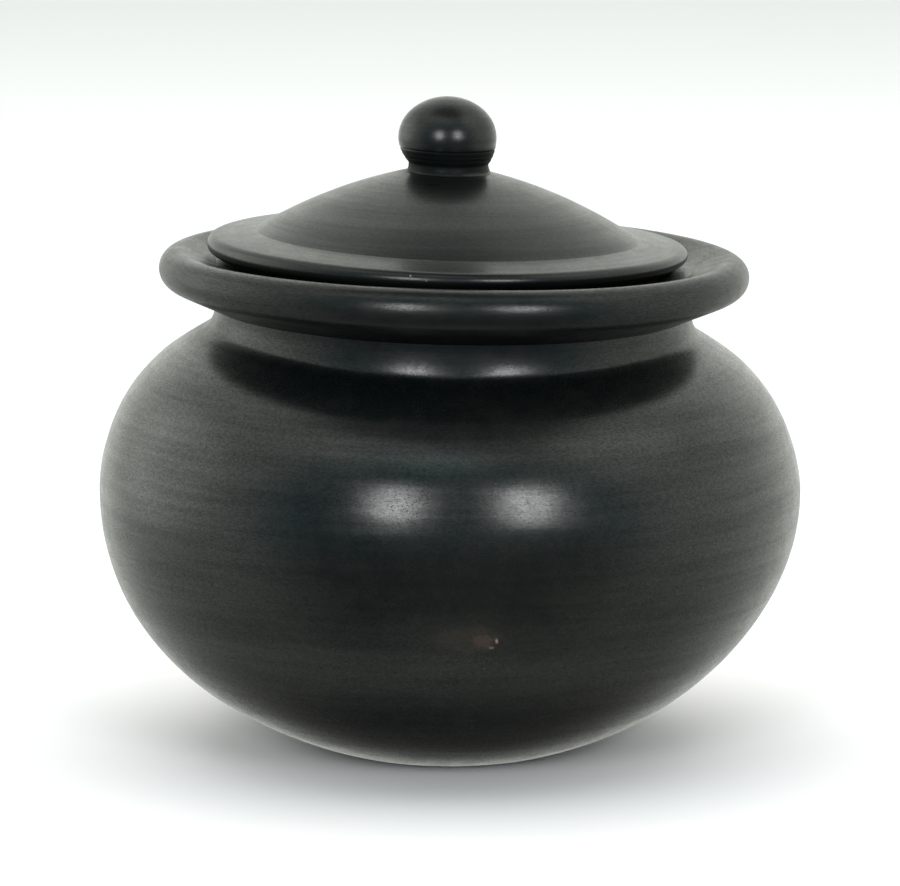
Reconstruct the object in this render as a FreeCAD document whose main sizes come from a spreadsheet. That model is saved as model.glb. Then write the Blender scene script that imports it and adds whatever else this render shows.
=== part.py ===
import FreeCAD, Part
import math
import os
from FreeCAD import Vector
from Sketcher import Constraint

# A lidded earthenware pot, in millimetres. +Z is up, Z is the axis of the pot, and the origin is
# the middle of the flat foot. Every piece is turned: a closed outline in its body's own XZ plane,
# revolved about Z. Heights stack up from the foot, so each one can be changed by itself.

SIZES = {
    "belly_radius": 125.0,  # the widest place, outside
    "belly_height": 92.0,  # the widest place above the foot, where bowl and shoulder join
    "foot_radius": 44.5,
    "foot_round": 1.5,
    "pot_wall": 7.5,
    "floor_thickness": 8.0,
    "floor_round": 14.0,  # inside, between floor and wall
    "shoulder_rise": 58.6,  # from the belly to the crease below the neck
    "neck_radius": 84.5,
    "neck_wall": 8.0,
    "crease_round": 5.0,  # the hollow between shoulder and neck
    "neck_stub": 0.5,  # the shoulder's upright edge above that hollow; the collar stands on it
    "throat_round": 3.0,  # the same corner inside
    "neck_rise": 6.2,  # from the crease to the rim's underside
    "rim_reach": 19.8,  # how far the rim stands out past the neck
    "rim_rise": 19.8,  # from the rim's underside, at the neck, to its crest
    "rim_roll": 6.6,  # radius of the rolled edge
    "seat_drop": 4.3,  # the lid's seat below the rim's crest
    "mouth_round": 1.0,
    "seat_reach": 2.7,  # how far the lid's bearing face goes past the mouth
    "brim_reach": 8.5,  # how far the brim goes past the mouth
    "brim_width": 17.0,  # from the brim's edge to the dome
    "brim_edge": 5.8,  # thickness of the brim's rounded edge
    "brim_lift": 2.3,  # underside of that edge above the seat
    "brim_rise": 1.9,  # how much higher the brim is where it meets the dome
    "lid_wall": 8.0,
    "dome_rise": 22.4,  # from the brim to the knob
    "dome_curve": 175.0,  # radius of the dome's outline
    "dome_flat": 12.0,  # radius of the flat inside the dome, under the knob
    "ring_clearance": 2.5,  # between the locating ring and the mouth, all round
    "ring_wall": 6.0,
    "ring_depth": 12.0,
    "ring_round": 2.0,
    "knob_foot_radius": 15.0,
    "knob_foot_rise": 3.0,  # from the dome to the knob's narrowest place
    "knob_neck_radius": 14.6,
    "knob_radius": 17.4,
    "knob_lower_rise": 9.1,  # from the narrowest place to the widest
    "knob_upper_rise": 14.4,  # from the widest place to the top
    "knob_cove": 5.0,  # radius of the hollow at the knob's foot
    "knob_flat": 2.0,  # radius of the smoothed tip
}

# Worked out from the sizes above. A quarter ellipse carries each round wall.
WORKED_OUT = {
    "bowl_depth": "belly_height / sqrt(1 - pow(foot_radius / belly_radius; 2))",
    "shoulder_depth": "shoulder_rise / sqrt(1 - pow(neck_radius / belly_radius; 2))",
    "inner_belly_radius": "belly_radius - pot_wall",
    "inner_bowl_depth": "bowl_depth - pot_wall",
    "inner_shoulder_depth": "shoulder_depth - pot_wall",
    "inner_floor_radius": "inner_belly_radius"
    " * sqrt(1 - pow((belly_height - floor_thickness) / inner_bowl_depth; 2))",
    "crease_height": "belly_height + shoulder_rise",
    "collar_base": "crease_height + crease_round + neck_stub",
    "mouth_radius": "neck_radius - neck_wall",
    "throat_height": "belly_height + inner_shoulder_depth"
    " * sqrt(1 - pow(mouth_radius / inner_belly_radius; 2))",
    "rim_base": "crease_height + neck_rise",
    "rim_crest": "rim_base + rim_rise",
    "rim_radius": "neck_radius + rim_reach",
    "roll_center_radius": "rim_radius - rim_roll",
    "roll_center_height": "rim_crest - rim_roll",
    "seat_height": "rim_crest - seat_drop",
    "seat_radius": "mouth_radius + seat_reach",
    "brim_radius": "mouth_radius + brim_reach",
    "brim_edge_round": "brim_edge / 2",
    "brim_edge_radius": "brim_radius - brim_edge_round",
    "brim_edge_height": "seat_height + brim_lift + brim_edge_round",
    "dome_radius": "brim_radius - brim_width",
    "dome_foot": "brim_edge_height + brim_edge_round + brim_rise",
    "dome_top": "dome_foot + dome_rise",
    "dome_inner_radius": "dome_radius - lid_wall",
    "dome_inner_top": "dome_top - lid_wall",
    "ring_radius": "mouth_radius - ring_clearance",
    "ring_inner_radius": "ring_radius - ring_wall",
    "ring_foot": "seat_height - ring_depth",
    "knob_neck_height": "dome_top + knob_foot_rise",
    "knob_middle": "knob_neck_height + knob_lower_rise",
    "knob_top": "knob_middle + knob_upper_rise",
}

ROOT, X_AXIS, Z_AXIS = -1, -1, -2  # the sketch's own origin and axes
START, END, CENTER = 1, 2, 3
TOUCH = 0.001  # two places nearer than this are the same

doc = FreeCAD.newDocument("LiddedPot")


def make_sheet():
    sheet = doc.addObject("Spreadsheet::Sheet", "Sizes")
    cells = {name: f"{value:g}" for name, value in SIZES.items()}
    cells.update({name: "=" + formula for name, formula in WORKED_OUT.items()})
    for row, (name, content) in enumerate(cells.items(), start=1):
        sheet.set(f"A{row}", name.replace("_", " "))
        sheet.set(f"B{row}", content)
        sheet.setAlias(f"B{row}", name)
    doc.recompute()
    return sheet


sheet = make_sheet()


def size(name):
    """A named size's value, or 0 for the axis and the foot's plane."""
    return 0.0 if name == "0" else float(sheet.get(name))


def bind(thing, setting, name):
    thing.setExpression(setting, f"{sheet.Name}.{name}")


def tangent_point(outside, center, radius, turn):
    """Where a line from an outside point touches a circle, to its right (1) or left (-1)."""
    towards = Vector(*center) - Vector(*outside)
    swing = turn * math.acos(radius / towards.Length)
    back = math.atan2(-towards.y, -towards.x) + swing
    return center[0] + radius * math.cos(back), center[1] + radius * math.sin(back)


class Outline:
    """A closed outline in a body's XZ plane, drawn edge by edge from named sizes. Each end is held
    across and up, only across, only up, or not at all where tangency places it."""

    def __init__(self, body, across, up):
        self.body = body
        self.sketch = body.newObject("Sketcher::SketchObject", body.Label + "_outline")
        planes = body.Origin.OriginFeatures
        plane = next(p for p in planes if p.Role == "XZ_Plane")
        self.sketch.AttachmentSupport = [(plane, "")]
        self.sketch.MapMode = "FlatFace"
        self.start = self.at = (size(across), size(up))
        self.held = (across, up)
        self.first = self.last = None

    def constrain(self, *rule, name=None):
        index = self.sketch.addConstraint(Constraint(*rule))
        if name:
            bind(self.sketch, f"Constraints[{index}]", name)

    def hold(self, edge, end, across=None, up=None):
        """Holds a point of an edge at named distances from the axis and from the foot's plane."""
        for name, kind, axis in ((across, "DistanceX", Z_AXIS), (up, "DistanceY", X_AXIS)):
            if name == "0":
                self.constrain("PointOnObject", edge, end, axis)
            elif name:
                self.constrain(kind, ROOT, START, edge, end, size(name), name=name)

    def end_near(self, edge, place):
        """The end of an edge at a place, because the sketch turns every arc anticlockwise."""
        ends = (START, END)
        return min(ends, key=lambda end: math.dist(self.sketch.getPoint(edge, end)[:2], place))

    def add(self, edge, place, across=None, up=None, join="Coincident"):
        """Joins a new edge to the last one, tangent to it or not, and holds its far end."""
        near, far = self.end_near(edge, self.at), self.end_near(edge, place)
        if self.last:
            self.constrain(join, *self.last, edge, near)
        else:
            self.first = (edge, near)
            self.hold(edge, near, *self.held)
        if math.dist(place, self.start) < TOUCH:
            self.constrain("Coincident", edge, far, *self.first)
        else:
            self.hold(edge, far, across, up)
        self.last, self.at = (edge, far), place

    def line(self, across, up, join="Coincident"):
        self.line_to((size(across), size(up)), across, up, join)

    def line_to(self, place, *held):
        segment = Part.LineSegment(Vector(*self.at), Vector(*place))
        self.add(self.sketch.addGeometry(segment), place, *held)

    def arc(self, across, up, radius, side):
        """An arc of a named radius, with its centre to the left (1) or right (-1) of the way."""
        start, end, reach = Vector(*self.at), Vector(size(across), size(up)), size(radius)
        half = (end - start) / 2
        aside = Vector(-half.y, half.x).normalize() * side
        center = start + half + aside * math.sqrt(reach**2 - half.Length**2)
        middle = center + (start + half - center).normalize() * reach
        edge = self.sketch.addGeometry(Part.Arc(start, middle, end))
        self.add(edge, (end.x, end.y), across, up)
        self.constrain("Radius", edge, reach, name=radius)

    def roll(self, center_across, center_up, radius, across, up):
        """A line, a rolled edge and a line, both tangent to it, to a corner."""
        center, reach = (size(center_across), size(center_up)), size(radius)
        touch = tangent_point(self.at, center, reach, 1)
        leave = tangent_point((size(across), size(up)), center, reach, -1)
        self.line_to(touch)
        outermost = Vector(center[0] + reach, center[1])
        edge = self.sketch.addGeometry(Part.Arc(Vector(*touch), outermost, Vector(*leave)))
        self.add(edge, leave, join="Tangent")
        self.hold(edge, CENTER, center_across, center_up)
        self.constrain("Radius", edge, reach, name=radius)
        self.line(across, up, "Tangent")

    def ellipse(self, across, up, center_up):
        """Part of an upright ellipse whose centre is on the axis, from here to a corner."""
        middle, place = size(center_up), (size(across), size(up))
        (x1, y1), (x2, y2) = ((x, y - middle) for x, y in (self.at, place))
        share = x1**2 * y2**2 - x2**2 * y1**2
        wide = math.sqrt(share / (y2**2 - y1**2))
        high = math.sqrt(share / (x1**2 - x2**2))
        flat = wide >= high
        tips = (Vector(wide, middle), Vector(0, middle + high))
        if not flat:
            tips = (tips[1], Vector(-wide, middle))
        curve = Part.Ellipse(*tips, Vector(0, middle))
        ends = sorted(curve.parameter(Vector(*p)) for p in (self.at, place))
        if ends[1] - ends[0] > math.pi:
            ends = [ends[1], ends[0] + 2 * math.pi]
        edge = self.sketch.addGeometry(Part.ArcOfEllipse(curve, *ends))
        self.add(edge, place, across, up)
        self.hold(edge, CENTER, "0", center_up)
        self.sketch.exposeInternalGeometry(edge)
        self.constrain("Horizontal" if flat else "Vertical", edge + 1)

    def close(self):
        self.line(*self.held)


def new_body(name):
    body = doc.addObject("PartDesign::Body", name)
    body.Label = name
    body.Placement = FreeCAD.Placement()
    return body


def turn(outline):
    """Revolves an outline about the pot's axis."""
    body = outline.body
    revolution = body.newObject("PartDesign::Revolution", body.Label + "_turned")
    revolution.Profile = outline.sketch
    revolution.ReferenceAxis = (outline.sketch, ["V_Axis"])
    revolution.Angle = 360.0
    body.Tip = revolution
    doc.recompute()


def round_off(body, radius, *circles):
    """Rounds the edges that run round the axis at the named radii and heights."""
    base = body.Tip
    names = []
    for across, up in circles:
        for number, edge in enumerate(base.Shape.Edges, start=1):
            curve = edge.Curve
            if isinstance(curve, Part.Circle) and math.dist(
                (curve.Radius, curve.Center.z), (size(across), size(up))
            ) < TOUCH:
                names.append(f"Edge{number}")
    if len(names) < len(circles):
        raise RuntimeError(f"{body.Label}: an edge to round is missing")
    fillet = body.newObject("PartDesign::Fillet", f"{body.Label}_{radius}")
    fillet.Base = (base, names)
    bind(fillet, "Radius", radius)
    body.Tip = fillet
    doc.recompute()


def make_bowl():
    """The lower half of the pot, with its flat foot and floor."""
    outline = Outline(new_body("bowl"), "0", "0")
    outline.line("foot_radius", "0")
    outline.ellipse("belly_radius", "belly_height", "belly_height")
    outline.line("inner_belly_radius", "belly_height")
    outline.ellipse("inner_floor_radius", "floor_thickness", "belly_height")
    outline.line("0", "floor_thickness")
    outline.close()
    turn(outline)
    round_off(outline.body, "foot_round", ("foot_radius", "0"))
    round_off(outline.body, "floor_round", ("inner_floor_radius", "floor_thickness"))


def make_shoulder():
    """The upper half, closing in to a short upright edge below the neck."""
    outline = Outline(new_body("shoulder"), "belly_radius", "belly_height")
    outline.ellipse("neck_radius", "crease_height", "belly_height")
    outline.line("neck_radius", "collar_base")
    outline.line("mouth_radius", "collar_base")
    outline.line("mouth_radius", "throat_height")
    outline.ellipse("inner_belly_radius", "belly_height", "belly_height")
    outline.close()
    turn(outline)
    round_off(outline.body, "crease_round", ("neck_radius", "crease_height"))
    round_off(outline.body, "throat_round", ("mouth_radius", "throat_height"))


def make_neck_collar():
    """The upright wall of the mouth. The lid bears on its top."""
    outline = Outline(new_body("neck_collar"), "mouth_radius", "collar_base")
    outline.line("neck_radius", "collar_base")
    outline.line("neck_radius", "seat_height")
    outline.line("mouth_radius", "seat_height")
    outline.close()
    turn(outline)
    round_off(outline.body, "mouth_round", ("mouth_radius", "seat_height"))


def make_rim():
    """The heavy coil round the collar, its top dished inwards."""
    outline = Outline(new_body("rim"), "neck_radius", "rim_base")
    outline.roll("roll_center_radius", "roll_center_height", "rim_roll", "neck_radius", "seat_height")
    outline.close()
    turn(outline)


def make_lid_dome():
    """The hollow cap, with a flat on top for the knob."""
    outline = Outline(new_body("lid_dome"), "dome_inner_radius", "seat_height")
    outline.line("dome_radius", "seat_height")
    outline.line("dome_radius", "dome_foot")
    outline.arc("knob_foot_radius", "dome_top", "dome_curve", 1)
    outline.line("0", "dome_top")
    outline.line("0", "dome_inner_top")
    outline.line("dome_flat", "dome_inner_top")
    outline.ellipse("dome_inner_radius", "seat_height", "seat_height")
    turn(outline)


def make_lid_brim():
    """The flat ring round the dome. Its inner part bears on the collar."""
    outline = Outline(new_body("lid_brim"), "seat_radius", "seat_height")
    outline.roll("brim_edge_radius", "brim_edge_height", "brim_edge_round", "dome_radius", "dome_foot")
    outline.line("dome_radius", "seat_height")
    outline.close()
    turn(outline)


def make_lid_locating_ring():
    """The ring that drops into the mouth and keeps the lid centred."""
    outline = Outline(new_body("lid_locating_ring"), "ring_inner_radius", "ring_foot")
    outline.line("ring_radius", "ring_foot")
    outline.line("ring_radius", "seat_height")
    outline.line("ring_inner_radius", "seat_height")
    outline.close()
    turn(outline)
    edges = (("ring_inner_radius", "ring_foot"), ("ring_radius", "ring_foot"))
    round_off(outline.body, "ring_round", *edges)


def make_lid_knob():
    """The ball grip on its hollowed foot."""
    outline = Outline(new_body("lid_knob"), "0", "dome_top")
    outline.line("knob_foot_radius", "dome_top")
    outline.arc("knob_neck_radius", "knob_neck_height", "knob_cove", -1)
    outline.ellipse("knob_radius", "knob_middle", "knob_middle")
    outline.ellipse("knob_flat", "knob_top", "knob_middle")
    outline.line("0", "knob_top")
    outline.close()
    turn(outline)


def check_and_export(bodies):
    """Writes each piece to its own file, once nothing in the model has failed."""
    doc.recompute()
    failed = [item.Label for item in doc.Objects if {"Invalid", "Error"} & set(item.State)]
    failed += [body.Label for body in bodies if body.Shape.isNull() or not body.Shape.isValid()]
    if failed:
        raise RuntimeError("failed: " + ", ".join(failed))
    os.makedirs("parts", exist_ok=True)
    for body in bodies:
        body.Shape.exportStep(f"parts/{body.Label}.step")
        print(body.Label, len(body.Shape.Solids), round(body.Shape.Volume / 1000, 1), "cm3")


make_bowl()
make_shoulder()
make_neck_collar()
make_rim()
make_lid_dome()
make_lid_brim()
make_lid_locating_ring()
make_lid_knob()
check_and_export([item for item in doc.Objects if item.TypeId == "PartDesign::Body"])
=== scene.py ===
"""A lidded pot of burnished black clay, hand-built from eight pieces of clay."""

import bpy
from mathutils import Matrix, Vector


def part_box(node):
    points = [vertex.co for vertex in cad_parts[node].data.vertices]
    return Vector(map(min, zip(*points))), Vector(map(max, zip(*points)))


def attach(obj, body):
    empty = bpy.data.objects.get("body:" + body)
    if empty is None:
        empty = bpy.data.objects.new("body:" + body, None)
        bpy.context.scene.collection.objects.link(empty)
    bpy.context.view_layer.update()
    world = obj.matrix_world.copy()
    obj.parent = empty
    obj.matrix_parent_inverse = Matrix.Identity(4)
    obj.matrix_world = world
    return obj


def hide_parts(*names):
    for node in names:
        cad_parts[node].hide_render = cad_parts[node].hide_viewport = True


bl_info = {
    "name": "Burnished Clay Pot",
    "version": (1, 0, 0),
    "blender": (4, 5, 0),
    "location": "View3D > Sidebar > Clay Pot",
    "description": "Builds a hand-made lidded clay pot, its burnished finish and a plain studio",
    "category": "Object",
}

from math import asin, atan2, cos, degrees, hypot, pi, radians, sin, sqrt, tan

import bmesh
import bpy
from bpy.props import FloatProperty, FloatVectorProperty, IntProperty, PointerProperty
from bpy.types import Operator, Panel, PropertyGroup
from mathutils import Euler, Matrix, Vector, noise

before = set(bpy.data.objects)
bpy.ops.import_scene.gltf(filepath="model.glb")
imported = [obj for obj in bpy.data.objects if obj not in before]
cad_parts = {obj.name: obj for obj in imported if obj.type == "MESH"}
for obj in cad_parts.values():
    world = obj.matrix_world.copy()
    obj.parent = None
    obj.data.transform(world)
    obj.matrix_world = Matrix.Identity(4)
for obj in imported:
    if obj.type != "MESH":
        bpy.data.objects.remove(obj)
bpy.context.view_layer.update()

POT_BODY, LID_BODY = "pot", "lid"
AXIS_UP = Vector((0, 0, 1))
SUPPORT = 0.0003  # how near a seam its last ring of points stands, so that the shading runs on
SHARP = radians(38)
WELD = 1e-6


def low(node, axis):
    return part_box(node)[0][axis]


def high(node, axis):
    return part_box(node)[1][axis]


# --- Sizes and colours that a user would change ------------------------------------------------


def length(name, description, default):
    return FloatProperty(
        name=name,
        description=description,
        default=default,
        precision=5,
        subtype="DISTANCE",
        unit="LENGTH",
    )


def angle(name, description, default):
    return FloatProperty(
        name=name,
        description=description,
        default=radians(default),
        subtype="ANGLE",
        unit="ROTATION",
    )


def colour(name, description, default):
    return FloatVectorProperty(
        name=name, description=description, default=default, size=3, min=0, max=1, subtype="COLOR"
    )


class ClayPotSizes(PropertyGroup):
    belly_radius: length("Belly radius", "Widest place, outside", high("bowl", 0))
    belly_height: length("Belly height", "Widest place above the foot", high("bowl", 2))
    foot_radius: length("Foot radius", "Flat disc the pot stands on", 0.0445)
    foot_round: length("Foot rounding", "Softened edge of the foot", 0.002)
    foot_hollow: length("Foot hollow", "How far the middle of the foot is off the table", 0.0006)
    wall: length("Wall", "Thickness of the body", 0.0075)
    floor: length("Floor", "Thickness of the floor", 0.008)
    floor_round: length("Floor rounding", "Hollow between floor and wall, inside", 0.014)
    crease_height: length("Crease height", "Where shoulder and neck meet", 0.1506)
    crease_round: length("Crease rounding", "Hollow between shoulder and neck", 0.0088)
    collar_base: length("Collar base", "Where the collar stands", low("neck_collar", 2))
    neck_radius: length("Neck radius", "Outside of the neck", high("neck_collar", 0))
    neck_wall: length("Neck wall", "Thickness of the neck", 0.008)
    seat_height: length("Seat height", "Where the lid bears", high("neck_collar", 2))
    rim_base: length("Rim base", "Underside of the rim at the neck", low("rim", 2))
    rim_crest: length("Rim crest", "Top of the rim", high("rim", 2))
    rim_radius: length("Rim radius", "Outside of the rim", high("rim", 0))
    rim_roll: length("Rim roll", "Radius of the rolled edge", 0.0066)


class ClayLidSizes(PropertyGroup):
    seat_height: length("Seat height", "Underside of the lid on its seat", low("lid_brim", 2))
    seat_radius: length("Seat radius", "Outside of the bearing face", 0.0792)
    brim_radius: length("Brim radius", "Outside of the brim", high("lid_brim", 0))
    brim_edge: length("Brim edge", "Thickness of the brim's edge", 0.0058)
    brim_lift: length("Brim lift", "Underside of that edge above the seat", 0.0023)
    dome_radius: length("Dome radius", "Where the dome meets the brim", high("lid_dome", 0))
    dome_foot: length("Dome foot", "Height where the dome meets the brim", high("lid_brim", 2))
    dome_top: length("Dome top", "Height of the knob's seam", high("lid_dome", 2))
    dome_curve: length("Dome curve", "Radius of the dome's outline", 0.175)
    wall: length("Wall", "Thickness of the dome", 0.008)
    ring_radius: length("Ring radius", "Outside of the ring", high("lid_locating_ring", 0))
    ring_foot: length("Ring foot", "Lower edge of the ring", low("lid_locating_ring", 2))
    ring_wall: length("Ring wall", "Thickness of the ring", 0.006)
    knob_foot: length("Knob foot", "Radius of the knob's seam", 0.0150)
    knob_neck: length("Knob neck", "Narrowest radius of the knob", 0.0142)
    knob_neck_height: length("Knob neck height", "Height of that place", 0.2077)
    knob_radius: length("Knob radius", "Widest place of the knob", high("lid_knob", 0))
    knob_middle: length("Knob middle", "Height of the widest place", 0.2168)
    knob_top: length("Knob top", "Top of the knob", high("lid_knob", 2))


class ClayHandwork(PropertyGroup):
    lean: angle("Lean", "How far the pot and its mouth dip to the right", 1.08)
    mouth_dip: angle("Mouth dip", "How far the mouth dips to the front", 1.16)
    fullness: length("Fullness", "How much the shoulder swells beyond its even curve", 0.0018)
    crease_sag: length("Crease sag", "How much lower the crease is at the front", 0.0050)
    roll_sag: length("Roll sag", "How much lower the rolled rim hangs at the front", 0.0012)
    crest_lift: length("Crest lift", "How much higher the rim's crest is at the front", 0.0010)
    lid_dip: angle("Lid dip", "How far the lid dips to the front", 0.95)
    lid_tilt: angle("Lid tilt", "How far the lid dips to its right", 1.35)
    dome_tilt: angle("Dome tilt", "How much further the dome dips than its brim", 0.75)
    lid_shift: length("Lid shift", "How far the lid sits to the left of the mouth", 0.0025)
    ring_shift: length("Ring shift", "How far the ring below it sits to the left", 0.001)
    knob_shift: length("Knob shift", "How far the knob was set to the left", 0.0014)
    unevenness: length("Unevenness", "How far the walls wander", 0.0004)
    wander: length("Wander", "Distance over which they wander", 0.07)
    facet_depth: length("Facet depth", "Depth of the burnishing stone's flats", 0.00006)
    facet_length: length("Facet length", "Length of one flat", 0.035)
    facet_height: length("Facet height", "Height of one flat", 0.005)
    steps: IntProperty(name="Steps", description="Faces round the pot", default=256, min=48)
    knob_steps: IntProperty(name="Knob steps", description="Faces round the knob", default=144, min=48)


class ClayFinish(PropertyGroup):
    black: colour("Black", "Smoked clay", (0.0016, 0.0030, 0.0032))
    grey: colour("Grey", "Clay that the smoke reached less", (0.0055, 0.0062, 0.0055))
    plain: colour("Plain clay", "Inside, where nothing was burnished", (0.026, 0.025, 0.023))
    burnish: FloatProperty(
        name="Burnish", description="Roughness of the burnish", default=0.27, min=0.05, max=1
    )


class ClayStudio(PropertyGroup):
    distance: length("Camera distance", "From the pot's axis to the camera", 1.5)
    height: length("Camera height", "Camera above the floor", 0.3573)
    pitch: angle("Pitch", "How far the camera looks down", 9.45)
    lens: FloatProperty(name="Lens", description="Focal length in millimetres", default=170.3)


# --- Outlines and turned pieces ----------------------------------------------------------------


def arc(across, up, wide, high_, start, end, count):
    """Points along part of an upright ellipse, from one angle in radians to another."""
    turn = (end - start) / count
    angles = [start + turn * i for i in range(count + 1)]
    return [(across + wide * cos(a), up + high_ * sin(a)) for a in angles]


def straight(start, end, spacing):
    """Evenly spaced points of a straight stretch, without its two ends."""
    count = max(1, round(hypot(end[0] - start[0], end[1] - start[1]) / spacing))
    return [
        (start[0] + (end[0] - start[0]) * i / count, start[1] + (end[1] - start[1]) * i / count)
        for i in range(1, count)
    ]


def supported(points):
    """The points of a stretch that runs on past a seam, with one more close to each end."""

    def beside(end, inner):
        share = SUPPORT / hypot(inner[0] - end[0], inner[1] - end[1])
        return (end[0] + (inner[0] - end[0]) * share, end[1] + (inner[1] - end[1]) * share)

    first, last = beside(points[0], points[1]), beside(points[-1], points[-2])
    return [points[0], first, *points[1:-1], last, points[-1]]


def bow(start, end, radius, count):
    """Points of an arc between two places, bulging to the right of the way from start to end."""
    half = Vector(((end[0] - start[0]) / 2, (end[1] - start[1]) / 2))
    left = Vector((-half.y, half.x)).normalized()
    center = Vector(start) + half + left * sqrt(radius**2 - half.length_squared)
    first = atan2(start[1] - center.y, start[0] - center.x)
    last = atan2(end[1] - center.y, end[0] - center.x)
    if last < first:
        last += 2 * pi
    return arc(center.x, center.y, radius, radius, first, last, count)


def ellipse_depth(rise, across, widest):
    """The height of a quarter ellipse that narrows from its widest place over a given rise."""
    return rise / sqrt(1 - (across / widest) ** 2)


def tangent_angle(outside, center, radius, turn):
    """The angle at which a line from an outside point touches a circle."""
    dx, dy = outside[0] - center[0], outside[1] - center[1]
    away = hypot(dx, dy)
    return atan2(dy, dx) + turn * (pi / 2 - asin(radius / away))


def rolled(before, center, radius, after, spacing=0.0011):
    """A line, a rolled edge and a line that run into one another, without the two far ends."""
    start = tangent_angle(before, center, radius, 1)
    end = tangent_angle(after, center, radius, -1)
    if end < start:
        end += 2 * pi
    count = round(radius * (end - start) / (spacing * 0.6))
    roll = arc(*center, radius, radius, start, end, count)
    return straight(before, roll[0], spacing) + roll + straight(roll[-1], after, spacing)


def eased(points, place, radius, count):
    """The outline with one of its corners rounded off by an arc."""
    spots = [Vector(point) for point in points]
    at = min(range(len(spots)), key=lambda i: (spots[i] - Vector(place)).length)
    if points[0][0] > WELD:  # a closed outline may start anywhere
        turned = at - len(spots) // 2
        spots = spots[turned:] + spots[:turned]
        at -= turned
    corner, before, after = spots[at], spots[:at], spots[at + 1 :]
    back, ahead = (before[-1] - corner).normalized(), (after[0] - corner).normalized()
    half = back.angle(ahead) / 2
    reach = radius / tan(half)
    while (before[-1] - corner).length < reach + SUPPORT / 2:
        before.pop()
    while (after[0] - corner).length < reach + SUPPORT / 2:
        after.pop(0)
    start = corner + (before[-1] - corner).normalized() * reach
    end = corner + (after[0] - corner).normalized() * reach
    curve = []
    for i in range(count + 1):
        share = i / count
        weights = ((1 - share) ** 2, 2 * share * (1 - share) * sin(half), share**2)
        curve.append((start * weights[0] + corner * weights[1] + end * weights[2]) / sum(weights))
    return [tuple(spot) for spot in [*before, *curve, *after]]


def turn_on_wheel(points, corners, steps):
    """Spins an outline about the pot's axis. Corners give the places to round and how much."""
    for place, radius, segments in corners:
        points = eased(points, place, radius, segments)
    mesh = bmesh.new()
    verts = [mesh.verts.new((x, 0, z)) for x, z in points]
    closed = points[0][0] > WELD
    ends = verts[1:] + verts[:1] if closed else verts[1:]
    for pair in zip(verts, ends):
        mesh.edges.new(pair)
    bmesh.ops.spin(
        mesh,
        geom=mesh.verts[:] + mesh.edges[:],
        axis=AXIS_UP,
        cent=(0, 0, 0),
        angle=2 * pi,
        steps=steps,
        use_merge=True,
    )
    bmesh.ops.remove_doubles(mesh, verts=mesh.verts, dist=WELD)
    bmesh.ops.recalc_face_normals(mesh, faces=mesh.faces)
    return mesh


# --- The hand in it ----------------------------------------------------------------------------


def smoothstep(value, start, end):
    share = min(max((value - start) / (end - start), 0), 1)
    return share * share * (3 - 2 * share)


def burnish_flats(mesh, hand):
    """Presses the burnishing stone's long shallow flats into every face of a piece."""
    mesh.normal_update()
    moves = []
    for vert in mesh.verts:
        x, y, z = vert.co
        spot = Vector((x / hand.facet_length, y / hand.facet_length, z / hand.facet_height))
        moves.append(vert.normal * noise.noise(spot) * hand.facet_depth)
    for vert, move in zip(mesh.verts, moves):
        vert.co += move


def wandering(place, hand):
    return noise.noise_vector(place / hand.wander) * hand.unevenness


def shape_pot(mesh, hand, pot):
    """Leans the pot, dips its mouth and lets its walls wander, the same for all its pieces."""
    for vert in mesh.verts:
        x, y, z = vert.co
        up = z - pot.belly_height
        standing = smoothstep(z, 0, 0.03)  # the foot stays flat on the table
        body = smoothstep(z, 0.04, 0.12)
        mouth = smoothstep(z, pot.belly_height, pot.crease_height)
        move = wandering(vert.co, hand) * standing
        move.x += up * sin(hand.lean) * standing
        move.y -= up * sin(hand.mouth_dip) * mouth
        move.z += y * sin(hand.mouth_dip) * mouth - x * sin(hand.lean) * body
        around = max(hypot(x, y), WELD)
        full = smoothstep(z, 0.104, 0.137) - smoothstep(z, 0.137, pot.crease_height)
        move.x += x / around * hand.fullness * full
        move.y += y / around * hand.fullness * full
        crease = smoothstep(z, 0.108, pot.crease_height) - smoothstep(z, pot.crease_height, pot.rim_base)
        roll, crest = smoothstep(z, pot.rim_base, 0.165), smoothstep(z, 0.165, pot.rim_crest)
        sag = hand.crease_sag * crease + hand.roll_sag * (roll - crest) - hand.crest_lift * crest
        move.z -= sag * (min(y, 0) / around) ** 2
        vert.co += move


def shape_lid(mesh, hand, pot, lid):
    """Sets the lid a little askew on its seat, where the leaning pot carries it."""
    seat = Vector((0, 0, lid.seat_height))
    tilt = Matrix.Rotation(hand.lid_tilt, 3, "Y") @ Matrix.Rotation(hand.lid_dip, 3, "X")
    dome_tilt = Matrix.Rotation(hand.dome_tilt, 3, "Y")
    up = lid.seat_height - pot.belly_height
    rise = lid.seat_radius * (sin(hand.lid_tilt - hand.lean) + sin(hand.mouth_dip - hand.lid_dip))
    carried = seat + Vector((up * sin(hand.lean), -up * sin(hand.mouth_dip), rise))
    for vert in mesh.verts:
        height = vert.co.z
        place = vert.co - seat
        dome = smoothstep(height, lid.seat_height + lid.brim_lift, lid.dome_foot + 0.001)
        place = place.lerp(dome_tilt @ place, dome)
        above = smoothstep(height, lid.ring_foot, lid.seat_height)
        shift = hand.ring_shift + (hand.lid_shift - hand.ring_shift) * above
        knob = smoothstep(height, lid.dome_top - 0.006, lid.knob_middle)
        move = wandering(vert.co + Vector((3, 1, 0)), hand)
        vert.co = carried + tilt @ place + move
        vert.co.x -= shift + hand.knob_shift * knob


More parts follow.
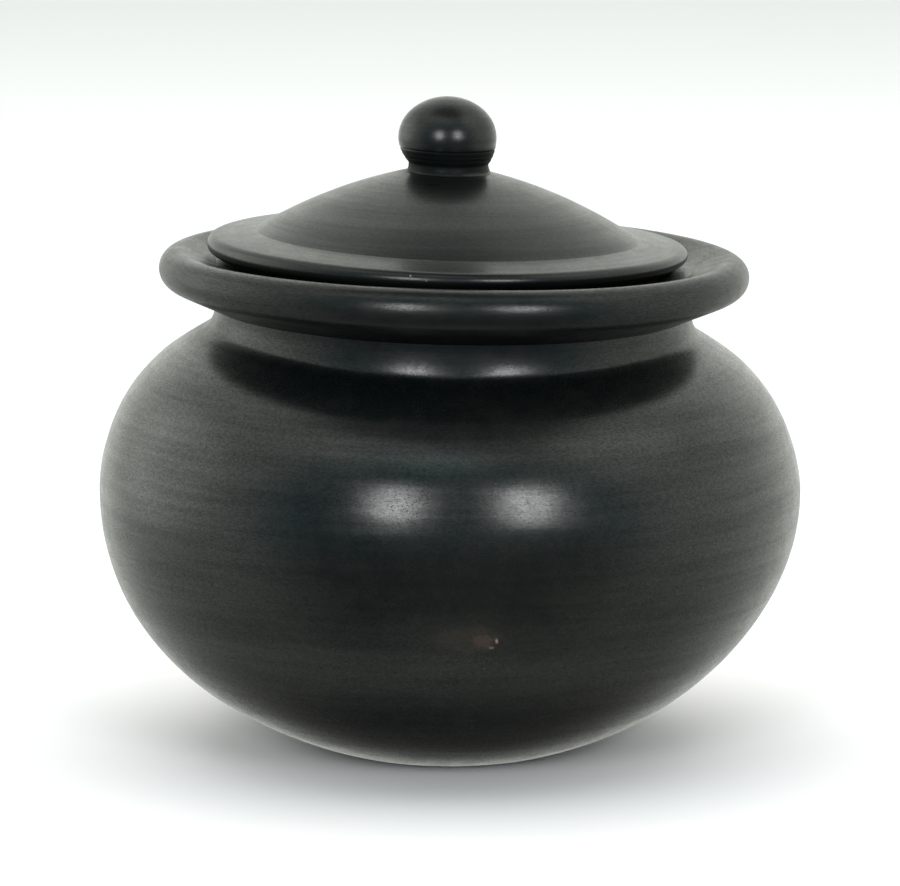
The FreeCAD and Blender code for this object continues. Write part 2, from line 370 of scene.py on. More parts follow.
def finish_piece(mesh, name, node, body, materials, plain=None):
    """Makes the piece an object with its clay, in place of its CAD node. Faces that look towards
    the plain point, on the inside, are left unburnished."""
    if plain:
        for face in mesh.faces:
            inside = face.normal.dot(face.calc_center_median() - Vector(plain)) < 0
            face.material_index = int(inside)
    data = bpy.data.meshes.new(name)
    mesh.to_mesh(data)
    mesh.free()
    data.shade_smooth()
    data.set_sharp_from_angle(angle=SHARP)
    for material in materials:
        data.materials.append(material)
    piece = bpy.data.objects.new(name, data)
    bpy.context.scene.collection.objects.link(piece)
    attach(piece, body)
    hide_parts(node)
    return piece


# --- Node helpers ------------------------------------------------------------------------------


def new_group(name, inputs, outputs):
    """A shader node group with named sockets. Returns it with its two end nodes."""
    group = bpy.data.node_groups.new(name, "ShaderNodeTree")
    for (title, kind, default), way in [(i, "INPUT") for i in inputs] + [(o, "OUTPUT") for o in outputs]:
        socket = group.interface.new_socket(title, in_out=way, socket_type=kind)
        if default is not None:
            socket.default_value = default
    return group, group.nodes.new("NodeGroupInput"), group.nodes.new("NodeGroupOutput")


def add_node(tree, kind, values=None, **settings):
    """A node with its settings, and its inputs linked or set from a dict of sockets."""
    node = tree.nodes.new(kind)
    for key, value in settings.items():
        setattr(node, key, value)
    for key, value in (values or {}).items():
        if isinstance(value, bpy.types.NodeSocket):
            tree.links.new(value, node.inputs[key])
        else:
            node.inputs[key].default_value = value
    return node


def maths(tree, operation, *values, clamp=False):
    inputs = dict(enumerate(values))
    return add_node(tree, "ShaderNodeMath", inputs, operation=operation, use_clamp=clamp).outputs[0]


def stretch(tree, value, low_in, high_in, low_out=0.0, high_out=1.0):
    """A value mapped smoothly from one range to another."""
    inputs = {"Value": value, 1: low_in, 2: high_in, 3: low_out, 4: high_out}
    node = add_node(tree, "ShaderNodeMapRange", inputs, interpolation_type="SMOOTHSTEP")
    return node.outputs[0]


def mix_colour(tree, factor, first, second):
    inputs = {0: factor, 6: first, 7: second}
    return add_node(tree, "ShaderNodeMix", inputs, data_type="RGBA").outputs[2]


def noise_texture(tree, vector, scale, detail=2.0, roughness=0.5, **more):
    inputs = {"Vector": vector, "Scale": scale, "Detail": detail, "Roughness": roughness, **more}
    dimensions = "4D" if "W" in more else "3D"
    return add_node(tree, "ShaderNodeTexNoise", inputs, noise_dimensions=dimensions).outputs[0]


# --- Effects that several clays share ----------------------------------------------------------


def make_stroke_group():
    """The burnishing stone's strokes: long level streaks that follow the turning of the pot."""
    group, start, end = new_group(
        "Burnishing strokes",
        [
            ("Place", "NodeSocketVector", None),
            ("Length", "NodeSocketFloat", 22.0),
            ("Fineness", "NodeSocketFloat", 420.0),
        ],
        [("Streaks", "NodeSocketFloat", None), ("Height", "NodeSocketFloat", None)],
    )
    place = start.outputs["Place"]
    parts = add_node(group, "ShaderNodeSeparateXYZ", {0: place})
    x, y, z = parts.outputs
    radius = maths(group, "SQRT", maths(group, "ADD", maths(group, "MULTIPLY", x, x), maths(group, "MULTIPLY", y, y)))
    span, fine = start.outputs["Length"], start.outputs["Fineness"]
    spot = add_node(
        group,
        "ShaderNodeCombineXYZ",
        {0: maths(group, "MULTIPLY", x, span), 1: maths(group, "MULTIPLY", y, span), 2: maths(group, "MULTIPLY", z, fine)},
    ).outputs[0]
    across = maths(group, "MULTIPLY", radius, fine)
    broad = noise_texture(group, spot, 0.35, 2.0, 0.6, W=maths(group, "MULTIPLY", across, 0.35))
    narrow = noise_texture(group, spot, 1.0, 3.0, 0.65, W=across)
    streaks = maths(group, "ADD", maths(group, "MULTIPLY", broad, 0.5), maths(group, "MULTIPLY", narrow, 0.5))
    group.links.new(streaks, end.inputs["Streaks"])
    group.links.new(narrow, end.inputs["Height"])
    return group


def make_pore_group():
    """Fine pits and grains that the stone did not close, thicker in some patches."""
    group, start, end = new_group(
        "Clay pores",
        [("Place", "NodeSocketVector", None), ("Scale", "NodeSocketFloat", 900.0)],
        [
            ("Pits", "NodeSocketFloat", None),
            ("Grain", "NodeSocketFloat", None),
            ("Height", "NodeSocketFloat", None),
        ],
    )
    place, scale = start.outputs["Place"], start.outputs["Scale"]
    flat = add_node(group, "ShaderNodeVectorMath", {0: place, 1: (1.0, 1.0, 1.7)}, operation="MULTIPLY").outputs[0]
    cells = add_node(group, "ShaderNodeTexVoronoi", {"Vector": flat, "Scale": scale, "Randomness": 1.0})
    patch = noise_texture(group, place, 70.0, 4.0, 0.65)
    size = stretch(group, patch, 0.36, 0.68, 0.21, 0.36)
    depth = maths(group, "SUBTRACT", size, cells.outputs["Distance"], clamp=True)
    pits = maths(group, "MULTIPLY", depth, 4.0, clamp=True)
    level = add_node(group, "ShaderNodeVectorMath", {0: place, 1: (0.5, 0.5, 1.5)}, operation="MULTIPLY").outputs[0]
    grain = noise_texture(group, level, maths(group, "MULTIPLY", scale, 1.7), 4.0, 0.75)
    height = maths(group, "SUBTRACT", maths(group, "MULTIPLY", grain, 1.2), pits)
    group.links.new(stretch(group, grain, 0.34, 0.66), end.inputs["Grain"])
    group.links.new(pits, end.inputs["Pits"])
    group.links.new(height, end.inputs["Height"])
    return group


def make_cloud_group():
    """Broad clouds of smoke, and smaller mottling within them."""
    group, start, end = new_group(
        "Smoke clouds",
        [("Place", "NodeSocketVector", None), ("Scale", "NodeSocketFloat", 9.0)],
        [("Clouds", "NodeSocketFloat", None), ("Mottle", "NodeSocketFloat", None)],
    )
    place, scale = start.outputs["Place"], start.outputs["Scale"]
    clouds = noise_texture(group, place, scale, 4.0, 0.55, Distortion=0.4)
    mottle = noise_texture(group, place, maths(group, "MULTIPLY", scale, 14.0), 5.0, 0.65)
    group.links.new(stretch(group, clouds, 0.36, 0.66), end.inputs["Clouds"])
    group.links.new(stretch(group, mottle, 0.35, 0.68), end.inputs["Mottle"])
    return group


def make_mark_group():
    """A ragged mark of a given size round a place on the pot."""
    group, start, end = new_group(
        "Ragged mark",
        [
            ("Place", "NodeSocketVector", None),
            ("Center", "NodeSocketVector", (0, 0, 0)),
            ("Half Size", "NodeSocketVector", (0.01, 0.01, 0.01)),
            ("Ragged", "NodeSocketFloat", 0.5),
            ("Grain", "NodeSocketFloat", 400.0),
        ],
        [("Mask", "NodeSocketFloat", None)],
    )
    place = start.outputs["Place"]
    away = add_node(group, "ShaderNodeVectorMath", {0: place, 1: start.outputs["Center"]}, operation="SUBTRACT")
    share = add_node(
        group, "ShaderNodeVectorMath", {0: away.outputs[0], 1: start.outputs["Half Size"]}, operation="DIVIDE"
    )
    far = add_node(group, "ShaderNodeVectorMath", {0: share.outputs[0]}, operation="LENGTH").outputs["Value"]
    rough = noise_texture(group, place, start.outputs["Grain"], 4.0, 0.7)
    shaken = maths(group, "MULTIPLY", maths(group, "SUBTRACT", rough, 0.5), start.outputs["Ragged"])
    edge = maths(group, "ADD", far, maths(group, "MULTIPLY", shaken, 4.0))
    group.links.new(stretch(group, edge, 0.35, 1.0, 1.0, 0.0), end.inputs["Mask"])
    return group


def shared_group(name, maker):
    return bpy.data.node_groups.get(name) or maker()


def use_group(tree, name, maker, **values):
    """Places a shared effect, made the first time it is asked for."""
    node = tree.nodes.new("ShaderNodeGroup")
    node.node_tree = shared_group(name, maker)
    for key, value in values.items():
        socket = node.inputs[key.replace("_", " ")]
        if isinstance(value, bpy.types.NodeSocket):
            tree.links.new(value, socket)
        else:
            socket.default_value = value
    return node


# --- Clays -------------------------------------------------------------------------------------


def new_material(name):
    """A material with only its shader and output. Returns its tree, shader and coordinates."""
    material = bpy.data.materials.new(name)
    material.use_nodes = True
    tree = material.node_tree
    tree.nodes.clear()
    shader = tree.nodes.new("ShaderNodeBsdfPrincipled")
    output = tree.nodes.new("ShaderNodeOutputMaterial")
    tree.links.new(shader.outputs[0], output.inputs["Surface"])
    place = tree.nodes.new("ShaderNodeTexCoord").outputs["Object"]
    return material, tree, shader, place


def rgba(colour_):
    return (*colour_, 1.0)


def two_bumps(tree, coarse, coarse_depth, fine, fine_depth):
    """One relief laid on another. Depths are in metres."""
    first = add_node(tree, "ShaderNodeBump", {"Height": coarse, "Distance": coarse_depth})
    second = add_node(
        tree, "ShaderNodeBump", {"Height": fine, "Distance": fine_depth, "Normal": first.outputs[0]}
    )
    return second.outputs[0]


# Worn places on the front: centre, half size, raggedness, grain, strength and colour
WORN = (
    ((0.0060, -0.1190, 0.0612), (0.0160, 0.0150, 0.0075), 0.25, 250.0, 0.30, (0.030, 0.023, 0.017)),
    ((0.0112, -0.1190, 0.0606), (0.0046, 0.0120, 0.0034), 0.30, 500.0, 0.45, (0.052, 0.030, 0.020)),
    ((0.0155, -0.1185, 0.0604), (0.0007, 0.0040, 0.0013), 0.35, 1500.0, 0.8, (0.22, 0.155, 0.11)),
    ((0.0136, -0.1180, 0.0580), (0.0016, 0.0040, 0.0009), 0.50, 1500.0, 0.5, (0.13, 0.105, 0.085)),
    ((0.0115, -0.1150, 0.0500), (0.0006, 0.0040, 0.0005), 0.20, 1500.0, 0.9, (0.16, 0.17, 0.16)),
)


LID_MARKS = (
    ((-0.0132, -0.0835, 0.1785), (0.0005, 0.0050, 0.0005), 0.20, 1500.0, 0.8, (0.25, 0.25, 0.24)),
    ((-0.0080, -0.0840, 0.1770), (0.0004, 0.0050, 0.0004), 0.20, 1500.0, 0.8, (0.25, 0.25, 0.24)),
    ((-0.0130, -0.0085, 0.2056), (0.0045, 0.0060, 0.0004), 0.10, 900.0, 1.0, (0.001, 0.001, 0.001)),
    ((0.0130, -0.0085, 0.2056), (0.0045, 0.0060, 0.0004), 0.10, 900.0, 1.0, (0.001, 0.001, 0.001)),
)


def lay_marks(tree, place, base, marks):
    """Lays marks over a base colour. Gives the new colour and where the marks are."""
    covered = None
    for center, half, ragged, grain, strength, colour_ in marks:
        mark = use_group(
            tree,
            "Ragged mark",
            make_mark_group,
            Place=place,
            Center=center,
            Half_Size=half,
            Ragged=ragged,
            Grain=grain,
        ).outputs[0]
        mark = maths(tree, "MULTIPLY", mark, strength)
        base = mix_colour(tree, mark, base, rgba(colour_))
        covered = mark if covered is None else maths(tree, "MAXIMUM", covered, mark)
    return base, covered


def lay_gloss(tree, shader, sheen, bare, roughness):
    """Lays the burnish over the clay as a coat, thin where the sheen is low."""
    shader.inputs["Specular IOR Level"].default_value = bare
    shader.inputs["Coat Roughness"].default_value = roughness
    coat = maths(tree, "MULTIPLY", maths(tree, "SUBTRACT", sheen, bare), 2.0, clamp=True)
    tree.links.new(coat, shader.inputs["Coat Weight"])


def make_burnished_clay(finish):
    """The pot's outside: black, stone-burnished, clouded by smoke, with one scuffed place."""
    material, tree, shader, place = new_material("clay_burnished_black")
    strokes = use_group(tree, "Burnishing strokes", make_stroke_group, Place=place)
    pores = use_group(tree, "Clay pores", make_pore_group, Place=place)
    smoke = use_group(tree, "Smoke clouds", make_cloud_group, Place=place)
    tone = maths(
        tree,
        "ADD",
        maths(tree, "MULTIPLY", smoke.outputs["Clouds"], 0.6),
        maths(tree, "MULTIPLY", smoke.outputs["Mottle"], 0.4),
    )
    base = mix_colour(tree, tone, rgba(finish.black), rgba(finish.grey))
    base, worn = lay_marks(tree, place, base, WORN)
    tree.links.new(base, shader.inputs["Base Color"])
    matt = maths(tree, "MULTIPLY", smoke.outputs["Mottle"], 0.10)
    matt = maths(tree, "ADD", matt, maths(tree, "MULTIPLY", strokes.outputs["Streaks"], 0.10))
    matt = maths(tree, "ADD", matt, maths(tree, "MULTIPLY", pores.outputs["Pits"], 0.20))
    mouth = use_group(
        tree,
        "Ragged mark",
        make_mark_group,
        Place=place,
        Center=(0.0, 0.0, 0.163),
        Half_Size=(2.0, 2.0, 0.024),
        Ragged=0.05,
        Grain=60.0,
    ).outputs[0]
    matt = maths(tree, "ADD", matt, maths(tree, "MULTIPLY", mouth, 0.10))
    rough = maths(tree, "ADD", matt, finish.burnish - 0.12)
    tree.links.new(rough, shader.inputs["Roughness"])
    sheen = stretch(tree, strokes.outputs["Streaks"], 0.38, 0.62, 0.41, 0.55)
    sheen = maths(tree, "MULTIPLY", sheen, stretch(tree, pores.outputs["Grain"], 0.0, 1.0, 0.72, 1.28))
    sheen = maths(tree, "MULTIPLY", sheen, stretch(tree, pores.outputs["Pits"], 0.0, 1.0, 1.0, 0.5))
    sheen = maths(tree, "MULTIPLY", sheen, stretch(tree, worn, 0.0, 1.0, 1.0, 0.7))
    sheen = maths(tree, "MULTIPLY", sheen, stretch(tree, mouth, 0.0, 1.0, 1.0, 0.7))
    lay_gloss(tree, shader, sheen, 0.15, 0.25)
    relief = two_bumps(tree, strokes.outputs["Height"], 0.00008, pores.outputs["Height"], 0.000024)
    tree.links.new(relief, shader.inputs["Normal"])
    return material


def make_lid_clay(finish):
    """The lid's outside: the same burnish, worked a little finer on the wheel."""
    material, tree, shader, place = new_material("clay_burnished_lid")
    strokes = use_group(tree, "Burnishing strokes", make_stroke_group, Place=place, Fineness=620.0, Length=14.0)
    pores = use_group(tree, "Clay pores", make_pore_group, Place=place, Scale=1100.0)
    smoke = use_group(tree, "Smoke clouds", make_cloud_group, Place=place, Scale=13.0)
    base = mix_colour(tree, smoke.outputs["Clouds"], rgba(finish.black), rgba(finish.grey))
    base, cracked = lay_marks(tree, place, base, LID_MARKS)
    tree.links.new(base, shader.inputs["Base Color"])
    matt = maths(tree, "MULTIPLY", smoke.outputs["Mottle"], 0.09)
    matt = maths(tree, "ADD", matt, maths(tree, "MULTIPLY", strokes.outputs["Streaks"], 0.08))
    unworked = use_group(
        tree,
        "Ragged mark",
        make_mark_group,
        Place=place,
        Center=(0.0, 0.0, 0.2096),
        Half_Size=(0.06, 0.06, 0.006),
        Ragged=0.03,
        Grain=300.0,
    ).outputs[0]
    matt = maths(tree, "ADD", matt, maths(tree, "MULTIPLY", unworked, 0.2))
    tree.links.new(maths(tree, "ADD", matt, finish.burnish - 0.04), shader.inputs["Roughness"])
    sheen = stretch(tree, strokes.outputs["Streaks"], 0.38, 0.62, 0.35, 0.46)
    sheen = maths(tree, "MULTIPLY", sheen, stretch(tree, pores.outputs["Grain"], 0.0, 1.0, 0.85, 1.15))
    sheen = maths(tree, "MULTIPLY", sheen, stretch(tree, unworked, 0.0, 0.8, 1.0, 0.05))
    sheen = maths(tree, "MULTIPLY", sheen, stretch(tree, cracked, 0.0, 0.8, 1.0, 0.1))
    lay_gloss(tree, shader, sheen, 0.1, 0.28)
    relief = two_bumps(tree, strokes.outputs["Height"], 0.000018, pores.outputs["Grain"], 0.000006)
    tree.links.new(relief, shader.inputs["Normal"])
    return material


def make_plain_clay(finish):
    """The inside, wiped smooth and left unburnished."""
    material, tree, shader, place = new_material("clay_wiped_inside")
    strokes = use_group(tree, "Burnishing strokes", make_stroke_group, Place=place, Fineness=300.0, Length=9.0)
    pores = use_group(tree, "Clay pores", make_pore_group, Place=place, Scale=650.0)
    smoke = use_group(tree, "Smoke clouds", make_cloud_group, Place=place, Scale=16.0)
    base = mix_colour(tree, smoke.outputs["Mottle"], rgba(finish.grey), rgba(finish.plain))
    tree.links.new(base, shader.inputs["Base Color"])
    rough = maths(tree, "ADD", maths(tree, "MULTIPLY", strokes.outputs["Streaks"], 0.15), 0.55)
    tree.links.new(rough, shader.inputs["Roughness"])
    relief = two_bumps(tree, strokes.outputs["Height"], 0.00015, pores.outputs["Height"], 0.0001)
    tree.links.new(relief, shader.inputs["Normal"])
    return material


def clay(name, maker):
    """A clay by name, made the first time it is asked for."""
    return bpy.data.materials.get(name) or maker(bpy.context.scene.clay_finish)


def burnished_clay():
    return clay("clay_burnished_black", make_burnished_clay)


def lid_clay():
    return clay("clay_burnished_lid", make_lid_clay)


def plain_clay():
    return clay("clay_wiped_inside", make_plain_clay)


# --- Pieces ------------------------------------------------------------------------------------


class CLAYPOT_OT_bowl(Operator):
    """Add the lower half of the pot, with its flat foot"""

    bl_idname = "claypot.bowl"
    bl_label = "Bowl"

    def execute(self, context):
        pot, hand = context.scene.clay_pot, context.scene.clay_hand
        depth = ellipse_depth(pot.belly_height, pot.foot_radius, pot.belly_radius)
        inner_depth, inner_radius = depth - pot.wall, pot.belly_radius - pot.wall
        foot = -asin(pot.belly_height / depth)
        floor = -asin((pot.belly_height - pot.floor) / inner_depth)
        outside = arc(0, pot.belly_height, pot.belly_radius, depth, foot, 0, 92)
        inside = arc(0, pot.belly_height, inner_radius, inner_depth, 0, floor, 46)
        hollow = [(0, pot.foot_hollow), (pot.foot_radius * 0.55, pot.foot_hollow), (pot.foot_radius * 0.86, 0)]
        lip = straight(outside[-1], inside[0], 0.002)
        points = [*hollow, *supported(outside), *lip, *inside]
        points += [*straight(inside[-1], (0, pot.floor), 0.004), (0, pot.floor)]
        corners = [(outside[0], pot.foot_round, 5), (inside[-1], pot.floor_round, 10)]
        mesh = turn_on_wheel(points, corners, hand.steps)
        burnish_flats(mesh, hand)
        shape_pot(mesh, hand, pot)
        clays = (burnished_clay(), plain_clay())
        center = (0, 0, pot.belly_height)
        finish_piece(mesh, "pot_bowl", "bowl", POT_BODY, clays, center)
        return {"FINISHED"}


class CLAYPOT_OT_shoulder(Operator):
    """Add the upper half of the pot, closing in to the neck"""

    bl_idname = "claypot.shoulder"
    bl_label = "Shoulder"

    def execute(self, context):
        pot, hand = context.scene.clay_pot, context.scene.clay_hand
        rise = pot.crease_height - pot.belly_height
        depth = ellipse_depth(rise, pot.neck_radius, pot.belly_radius)
        inner_depth, inner_radius = depth - pot.wall, pot.belly_radius - pot.wall
        mouth = pot.neck_radius - pot.neck_wall
        crease = asin(rise / depth)
        throat = asin(sqrt(1 - (mouth / inner_radius) ** 2))
        outside = arc(0, pot.belly_height, pot.belly_radius, depth, 0, crease, 62)
        top, top_inside = (pot.neck_radius, pot.collar_base), (mouth, pot.collar_base)
        inside = arc(0, pot.belly_height, inner_radius, inner_depth, throat, 0, 40)
        points = [*supported(outside)[:-2], outside[-1], *supported([outside[-1], top])[2:]]
        points += [*straight(top, top_inside, 0.002), top_inside, *inside]
        points += straight(inside[-1], outside[0], 0.002)
        corners = [(outside[-1], pot.crease_round, 14), (inside[0], 0.003, 5)]
        mesh = turn_on_wheel(points, corners, hand.steps)
        burnish_flats(mesh, hand)
        shape_pot(mesh, hand, pot)
        clays = (burnished_clay(), plain_clay())
        center = (0, 0, pot.belly_height)
        finish_piece(mesh, "pot_shoulder", "shoulder", POT_BODY, clays, center)
        return {"FINISHED"}


class CLAYPOT_OT_neck(Operator):
    """Add the upright wall of the mouth, with the lid's seat on top"""

    bl_idname = "claypot.neck"
    bl_label = "Neck collar"

    def execute(self, context):
        pot, hand = context.scene.clay_pot, context.scene.clay_hand
        mouth, spacing = pot.neck_radius - pot.neck_wall, 0.0012
        foot, seat = pot.collar_base, pot.seat_height
        corners_at = [(mouth, foot), (pot.neck_radius, foot), (pot.neck_radius, seat), (mouth, seat)]
        points = []
        for here, there in zip(corners_at, corners_at[1:] + corners_at[:1]):
            points += supported([here, *straight(here, there, spacing), there])[:-1]
        mesh = turn_on_wheel(points, [((mouth, seat), 0.001, 4)], hand.steps)
        burnish_flats(mesh, hand)
        shape_pot(mesh, hand, pot)
        clays = (burnished_clay(), plain_clay())
        finish_piece(mesh, "pot_neck_collar", "neck_collar", POT_BODY, clays)
        return {"FINISHED"}


class CLAYPOT_OT_rim(Operator):
    """Add the heavy rolled rim round the neck"""

    bl_idname = "claypot.rim"
    bl_label = "Rim"

    def execute(self, context):
        pot, hand = context.scene.clay_pot, context.scene.clay_hand
        below, above = (pot.neck_radius, pot.rim_base), (pot.neck_radius, pot.seat_height)
        center = (pot.rim_radius - pot.rim_roll, pot.rim_crest - pot.rim_roll)
        points = [below, *rolled(below, center, pot.rim_roll, above), above]
        points += straight(above, below, 0.002)
        mesh = turn_on_wheel(points, [], hand.steps)
        burnish_flats(mesh, hand)
        shape_pot(mesh, hand, pot)
        finish_piece(mesh, "pot_rim", "rim", POT_BODY, (burnished_clay(),))
        return {"FINISHED"}


class CLAYPOT_OT_dome(Operator):
    """Add the lid's hollow dome"""

    bl_idname = "claypot.dome"
    bl_label = "Lid dome"

    def execute(self, context):
        lid, hand = context.scene.clay_lid, context.scene.clay_hand
        inner_radius = lid.dome_radius - lid.wall
        inner_rise = lid.dome_top - lid.wall - lid.seat_height
        foot, edge = (lid.dome_radius, lid.seat_height), (lid.dome_radius, lid.dome_foot)
        top = (lid.knob_foot, lid.dome_top)
        points = [(0, lid.dome_top), *straight((0, lid.dome_top), top, 0.003)]
        points += supported(bow(edge, top, lid.dome_curve, 56)[::-1])
        points += [*straight(edge, foot, 0.002), foot]
        points += arc(0, lid.seat_height, inner_radius, inner_rise, 0, pi / 2, 44)
        mesh = turn_on_wheel(points, [], hand.steps)
        burnish_flats(mesh, hand)
        shape_lid(mesh, hand, context.scene.clay_pot, lid)
        clays = (lid_clay(), plain_clay())
        center = (0, 0, lid.seat_height - 0.02)
        finish_piece(mesh, "lid_cap", "lid_dome", LID_BODY, clays, center)
        return {"FINISHED"}


class CLAYPOT_OT_brim(Operator):
    """Add the flat ring round the dome"""

    bl_idname = "claypot.brim"
    bl_label = "Lid brim"

    def execute(self, context):
        lid, hand = context.scene.clay_lid, context.scene.clay_hand
        bearing, crease = (lid.seat_radius, lid.seat_height), (lid.dome_radius, lid.dome_foot)
        radius = lid.brim_edge / 2
        center = (lid.brim_radius - radius, lid.seat_height + lid.brim_lift + radius)
        inside = (lid.dome_radius, lid.seat_height)
        points = [bearing, *rolled(bearing, center, radius, crease, 0.0009), crease]
        points += [*straight(crease, inside, 0.002), inside, *straight(inside, bearing, 0.002)]
        mesh = turn_on_wheel(points, [], hand.steps)
        burnish_flats(mesh, hand)
        shape_lid(mesh, hand, context.scene.clay_pot, lid)
        finish_piece(mesh, "lid_brim_ring", "lid_brim", LID_BODY, (lid_clay(),))
        return {"FINISHED"}


class CLAYPOT_OT_locating_ring(Operator):
    """Add the ring that drops into the mouth"""

    bl_idname = "claypot.locating_ring"
    bl_label = "Locating ring"

    def execute(self, context):
        lid, hand = context.scene.clay_lid, context.scene.clay_hand
        inner = lid.ring_radius - lid.ring_wall
        top, foot = lid.seat_height, lid.ring_foot
        corners_at = [(inner, foot), (lid.ring_radius, foot), (lid.ring_radius, top), (inner, top)]
        points = []
        for here, there in zip(corners_at, corners_at[1:] + corners_at[:1]):
            points += [here, *straight(here, there, 0.0015)]
        corners = [(corners_at[0], 0.002, 5), (corners_at[1], 0.002, 5)]
        mesh = turn_on_wheel(points, corners, hand.steps)
        burnish_flats(mesh, hand)
        shape_lid(mesh, hand, context.scene.clay_pot, lid)
        clays = (plain_clay(),)
        finish_piece(mesh, "lid_ring", "lid_locating_ring", LID_BODY, clays)
        return {"FINISHED"}


class CLAYPOT_OT_knob(Operator):
    """Add the ball knob with its turned neck"""

    bl_idname = "claypot.knob"
    bl_label = "Lid knob"

    def execute(self, context):
        lid, hand = context.scene.clay_lid, context.scene.clay_hand
        rise = lid.knob_middle - lid.knob_neck_height
        depth = ellipse_depth(rise, lid.knob_neck, lid.knob_radius)
        neck = -asin(rise / depth)
        foot = (lid.knob_foot, lid.dome_top)
        cove = bow((lid.knob_neck, lid.knob_neck_height), foot, KNOB_COVE, 10)
        lower = arc(0, lid.knob_middle, lid.knob_radius, depth, neck, 0, 56)
        upper = lid.knob_top - lid.knob_middle
        points = [(0, lid.dome_top), *straight((0, lid.dome_top), foot, 0.003), *cove[::-1]]
        points += [cut_groove(x, z, lid) for x, z in lower[1:]]
        points += arc(0, lid.knob_middle, lid.knob_radius, upper, 0, pi / 2, 40)[1:]
        mesh = turn_on_wheel(points, [], hand.knob_steps)
        burnish_flats(mesh, hand)
        shape_lid(mesh, hand, context.scene.clay_pot, lid)
        finish_piece(mesh, "lid_ball_knob", "lid_knob", LID_BODY, (lid_clay(),))
        return {"FINISHED"}


# Height and depth of the lines turned into the knob's neck
GROOVES = ((0.2131, 0.00035), (0.2114, 0.0001), (0.2098, 0.00015), (0.2081, 0.0001))
GROOVE_HALF = 0.0004
KNOB_COVE = 0.005


def cut_groove(across, up, lid):
    """A point of the knob's outline, drawn in where a turned groove passes."""
    cut = sum(depth * max(0, 1 - abs(up - height) / GROOVE_HALF) for height, depth in GROOVES)
    return (across - cut, up)


# --- Studio ------------------------------------------------------------------------------------


def add_lamp(name, place, aim, size, power, shape="ELLIPSE"):
    """A soft lamp that looks at a point."""
    data = bpy.data.lights.new(name, "AREA")
    data.shape = shape
    data.size, data.size_y = size
    data.energy = power
    lamp = bpy.data.objects.new(name, data)
    lamp.location = place
    lamp.rotation_euler = (Vector(aim) - Vector(place)).to_track_quat("-Z", "Y").to_euler()
    lamp.visible_camera = False
    bpy.context.scene.collection.objects.link(lamp)
    return lamp


def direction(azimuth, elevation):
    """A unit vector, with azimuth 0 towards the camera and positive to its right."""
    a, e = radians(azimuth), radians(elevation)
    return Vector((sin(a) * cos(e), -cos(a) * cos(e), sin(e)))


def plain_material(name, shade, roughness):
    material, tree, shader, place = new_material(name)
    grain = noise_texture(tree, place, 3.0, 2.0)
    tree.links.new(mix_colour(tree, grain, rgba(shade), rgba([c * 0.99 for c in shade])), shader.inputs[0])
    shader.inputs["Roughness"].default_value = roughness
    return material


def add_floor():
    mesh = bmesh.new()
    bmesh.ops.create_grid(mesh, x_segments=2, y_segments=2, size=14)
    data = bpy.data.meshes.new("floor")
    mesh.to_mesh(data)
    mesh.free()
    data.materials.append(plain_material("floor_paper", (0.95, 0.93, 0.95), 0.9))
    floor = bpy.data.objects.new("floor", data)
    bpy.context.scene.collection.objects.link(floor)
    floor.visible_glossy = False


def soft_patch(tree, way, azimuth, elevation, inner, outer, strength):
    """A soft round patch of light in the surroundings, full inside one angle, gone at another."""
    facing = add_node(
        tree, "ShaderNodeVectorMath", {0: way, 1: direction(azimuth, elevation)}, operation="DOT_PRODUCT"
    ).outputs["Value"]
    return stretch(tree, facing, cos(radians(outer)), cos(radians(inner)), 0.0, strength)


# Azimuth and elevation in degrees, radii of the full and the fading part, strength
PATCHES = (
    (0, 62, 6, 17, 0.85),
    (-45, 64, 5, 20, 0.5),
    (-108, 14, 14, 30, 0.8),
    (82, 50, 8, 22, 0.45),
    (0, -58, 8, 22, 0.18),
)


def set_world():
    """A pale studio behind and beside the pot, dim on the camera's side and below the pot, with
    a few bright patches. The camera itself sees it as plain white."""
    world = bpy.data.worlds.new("studio")
    bpy.context.scene.world = world
    world.use_nodes = True
    tree = world.node_tree
    way = add_node(tree, "ShaderNodeTexCoord").outputs["Generated"]
    x, y, z = add_node(tree, "ShaderNodeSeparateXYZ", {0: way}).outputs
    front = stretch(tree, y, -0.75, -0.2, 0.24, 1.0)
    below = stretch(tree, z, -0.8, 0.0, 0.43, 1.0)
    above = stretch(tree, z, 0.86, 0.985, 1.0, 0.12)
    under = maths(tree, "SUBTRACT", 1.0, soft_patch(tree, way, 180, -62, 8, 40, 0.85))
    light = maths(tree, "MULTIPLY", maths(tree, "MULTIPLY", front, below), above)
    for patch in PATCHES:
        light = maths(tree, "ADD", light, soft_patch(tree, way, *patch))
    light = maths(tree, "MULTIPLY", light, under)
    seen = add_node(tree, "ShaderNodeLightPath").outputs["Is Camera Ray"]
    strength = add_node(tree, "ShaderNodeMix", {0: seen, 2: light, 3: 0.95}).outputs[0]
    neutral = maths(tree, "MAXIMUM", front, stretch(tree, z, -0.4, 0.0, 1.0, 0.0))
    tint = mix_colour(tree, neutral, (0.5, 0.93, 1.03, 1), (0.97, 1.0, 0.93, 1))
    background = tree.nodes["Background"]
    tree.links.new(tint, background.inputs["Color"])
    tree.links.new(strength, background.inputs["Strength"])


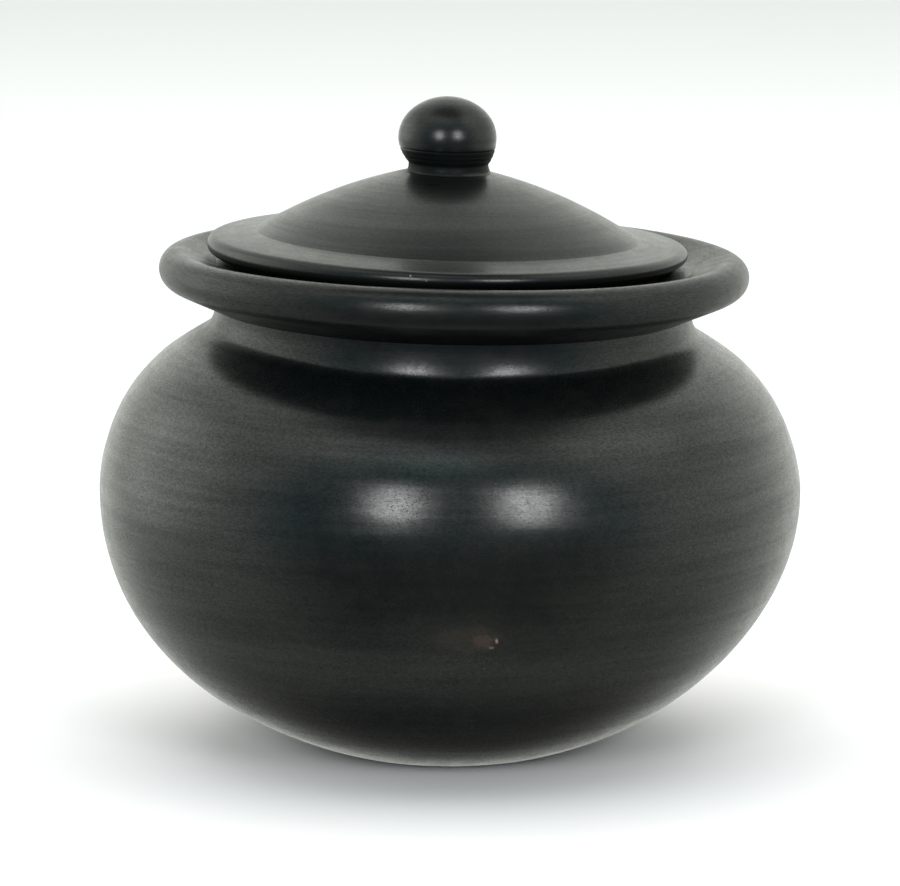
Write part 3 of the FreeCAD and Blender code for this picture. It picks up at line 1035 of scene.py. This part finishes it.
class CLAYPOT_OT_studio(Operator):
    """Add the floor, the lamps, the pale surroundings and the camera"""

    bl_idname = "claypot.studio"
    bl_label = "Studio"

    def execute(self, context):
        scene, studio, pot = context.scene, context.scene.clay_studio, context.scene.clay_pot
        set_world()
        add_floor()
        middle = Vector((0, 0, pot.belly_height))
        for name, azimuth, power in (("lamp_left", -18, 7.8), ("lamp_right", 25.5, 7.4)):
            add_lamp(name, middle + direction(azimuth, 20) * 1.6, middle, (0.38, 0.58), power)
        add_lamp("floor_light", (0, 0.4, 3.0), (0, 0, 0), (4, 4), 62, "RECTANGLE").visible_glossy = False
        camera = bpy.data.objects.new("camera", bpy.data.cameras.new("camera"))
        scene.collection.objects.link(camera)
        camera.location = (0, -studio.distance, studio.height)
        camera.rotation_euler = Euler((pi / 2 - studio.pitch, 0, 0))
        camera.data.lens = studio.lens
        camera.data.clip_start, camera.data.clip_end = 0.05, 60
        scene.camera = camera
        scene.view_settings.view_transform = "Standard"
        return {"FINISHED"}


# --- Panel and registration --------------------------------------------------------------------

PIECES = (
    CLAYPOT_OT_bowl,
    CLAYPOT_OT_shoulder,
    CLAYPOT_OT_neck,
    CLAYPOT_OT_rim,
    CLAYPOT_OT_dome,
    CLAYPOT_OT_brim,
    CLAYPOT_OT_locating_ring,
    CLAYPOT_OT_knob,
)
GROUPS = {
    "clay_pot": ClayPotSizes,
    "clay_lid": ClayLidSizes,
    "clay_hand": ClayHandwork,
    "clay_finish": ClayFinish,
    "clay_studio": ClayStudio,
}


class CLAYPOT_PT_panel(Panel):
    bl_idname = "CLAYPOT_PT_panel"
    bl_label = "Clay Pot"
    bl_space_type = "VIEW_3D"
    bl_region_type = "UI"
    bl_category = "Clay Pot"

    def draw(self, context):
        for operator in (*PIECES, CLAYPOT_OT_studio):
            self.layout.operator(operator.bl_idname)
        for name, group in GROUPS.items():
            box = self.layout.box()
            for key in group.__annotations__:
                box.prop(getattr(context.scene, name), key)


CLASSES = (*GROUPS.values(), *PIECES, CLAYPOT_OT_studio, CLAYPOT_PT_panel)


def register():
    for cls in CLASSES:
        bpy.utils.register_class(cls)
    for name, group in GROUPS.items():
        setattr(bpy.types.Scene, name, PointerProperty(type=group))


def unregister():
    for name in GROUPS:
        delattr(bpy.types.Scene, name)
    for cls in reversed(CLASSES):
        bpy.utils.unregister_class(cls)


def main():
    register()
    for operator in (*PIECES, CLAYPOT_OT_studio):
        group, name = operator.bl_idname.split(".")
        getattr(getattr(bpy.ops, group), name)()


if __name__ == "__main__":
    main()
